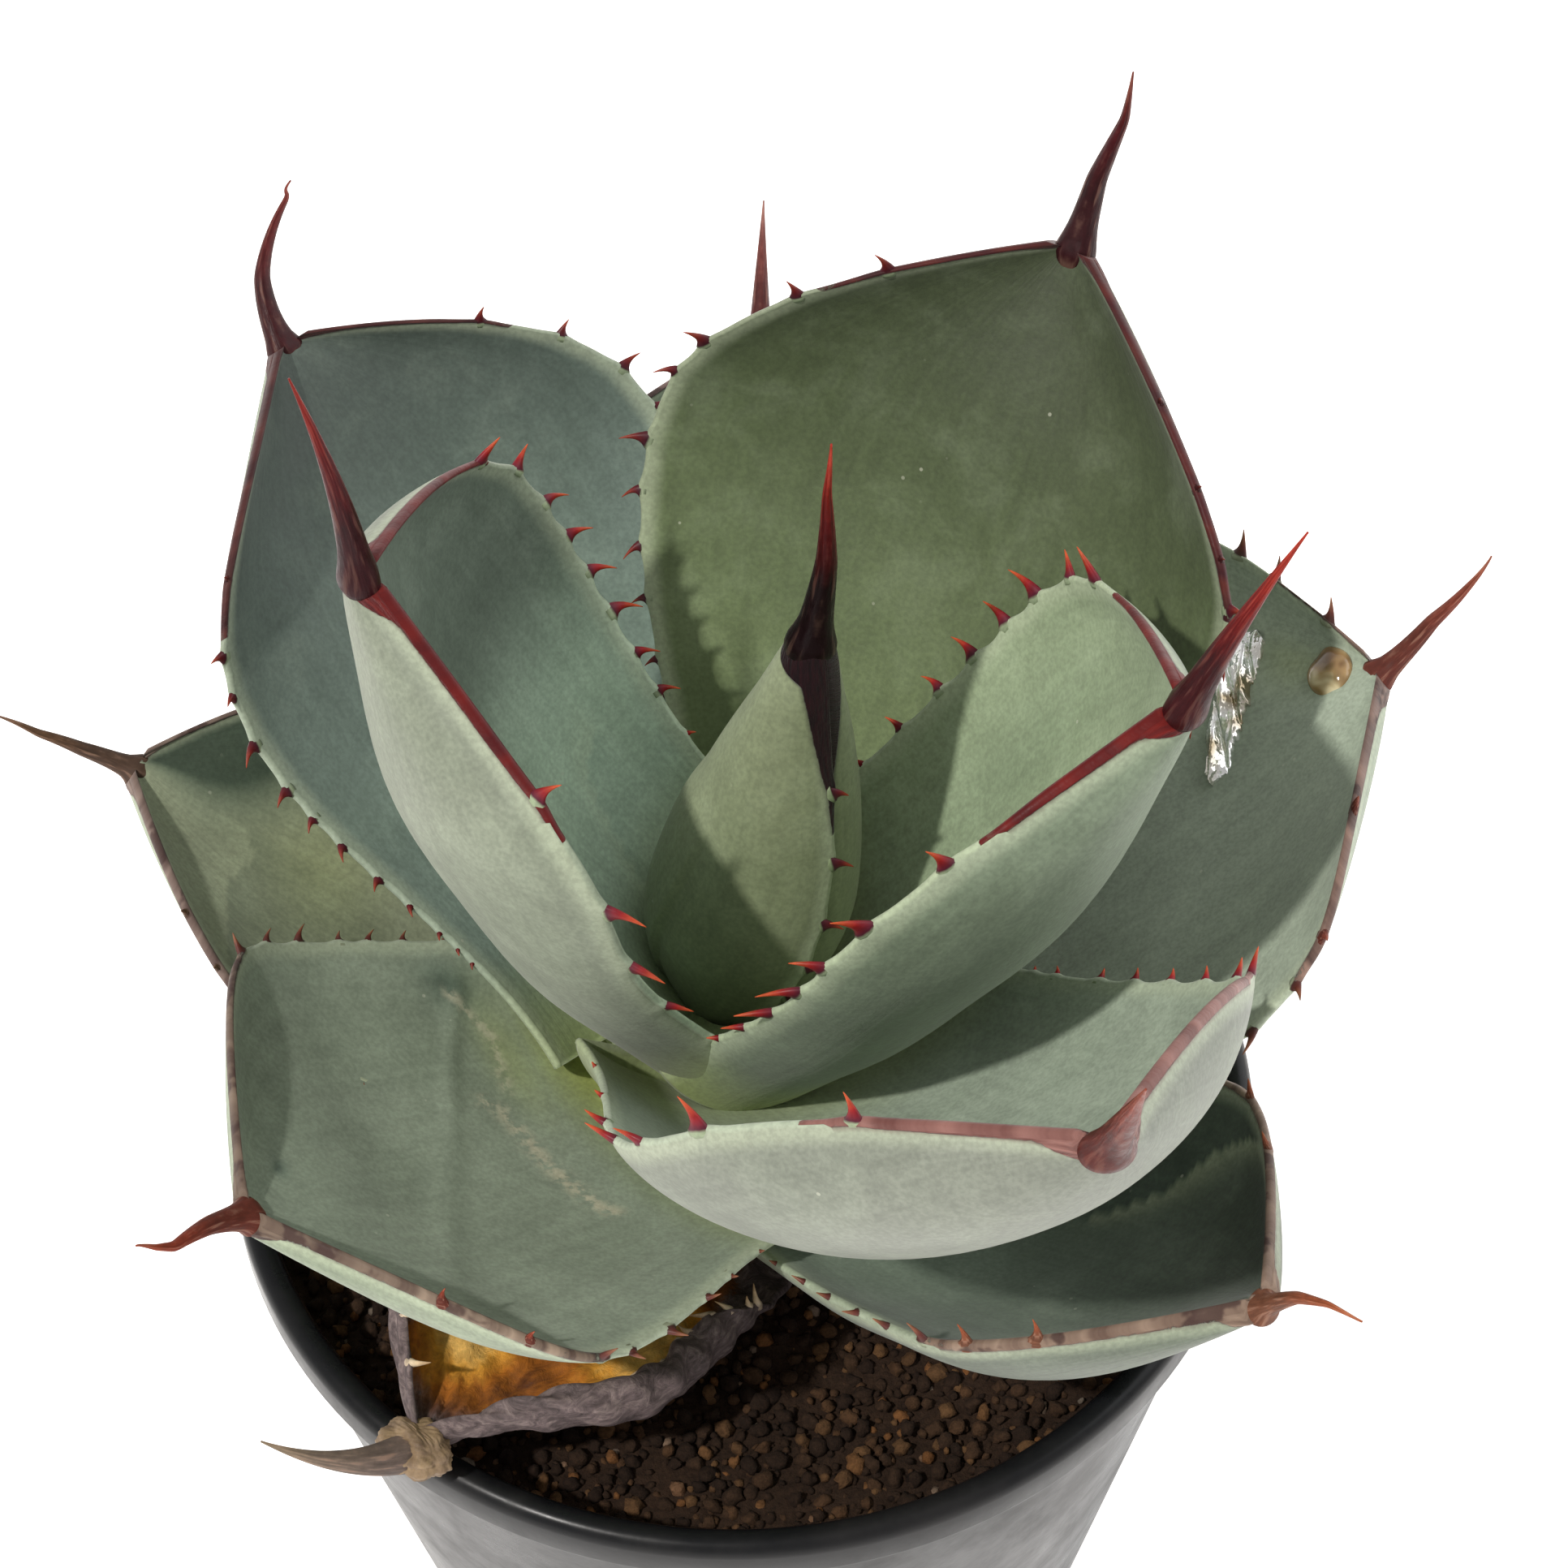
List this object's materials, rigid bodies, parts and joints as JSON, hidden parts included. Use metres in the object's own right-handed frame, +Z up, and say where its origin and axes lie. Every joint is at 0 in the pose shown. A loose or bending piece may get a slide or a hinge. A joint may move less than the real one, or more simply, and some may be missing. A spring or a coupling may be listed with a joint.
{
  "type": "potted agave",
  "caption": "Rosette of broad, cupped, toothed leaves with long end spines, growing from soil in a round tapered pot with a rolled lip.",
  "frame": {"origin": "centre of the underside of the pot, on the pot's axis", "axes": "+Z up along the pot's axis; -Y is the front, the side that faces the camera in the picture; +X is to the right"},
  "size_m": [0.2102, 0.2195, 0.2689],
  "materials": {
    "pot_plastic": "glossy black plastic, dusty, lightly scratched",
    "soil": "dry matt baked-clay granules",
    "stem": "pale green flesh",
    "bud": "waxy grey-green",
    "leaf_inner": "waxy grey-green with pale bloom, bright red margins",
    "leaf_front": "waxy pale grey-green with whitish bloom",
    "leaf_back": "waxy grey-green with pale bloom, brown margins",
    "leaf_low": "waxy grey-green, scarred, brown margins",
    "dead_leaf": "withered, fibrous, yellow-brown"
  },
  "bodies": {
    "root": {"pot": "pot_plastic", "soil": "soil", "stem": "stem", "bud_cone": "bud", "leaf_inner_right": "leaf_inner", "leaf_inner_left": "leaf_inner", "leaf_front": "leaf_front", "leaf_back_right": "leaf_back", "leaf_back_left": "leaf_back", "leaf_front_left": "leaf_low", "leaf_right": "leaf_low", "leaf_back": "leaf_back", "leaf_front_right": "leaf_low", "leaf_left": "leaf_low", "dead_leaf": "dead_leaf"}
  },
  "joints": []
}
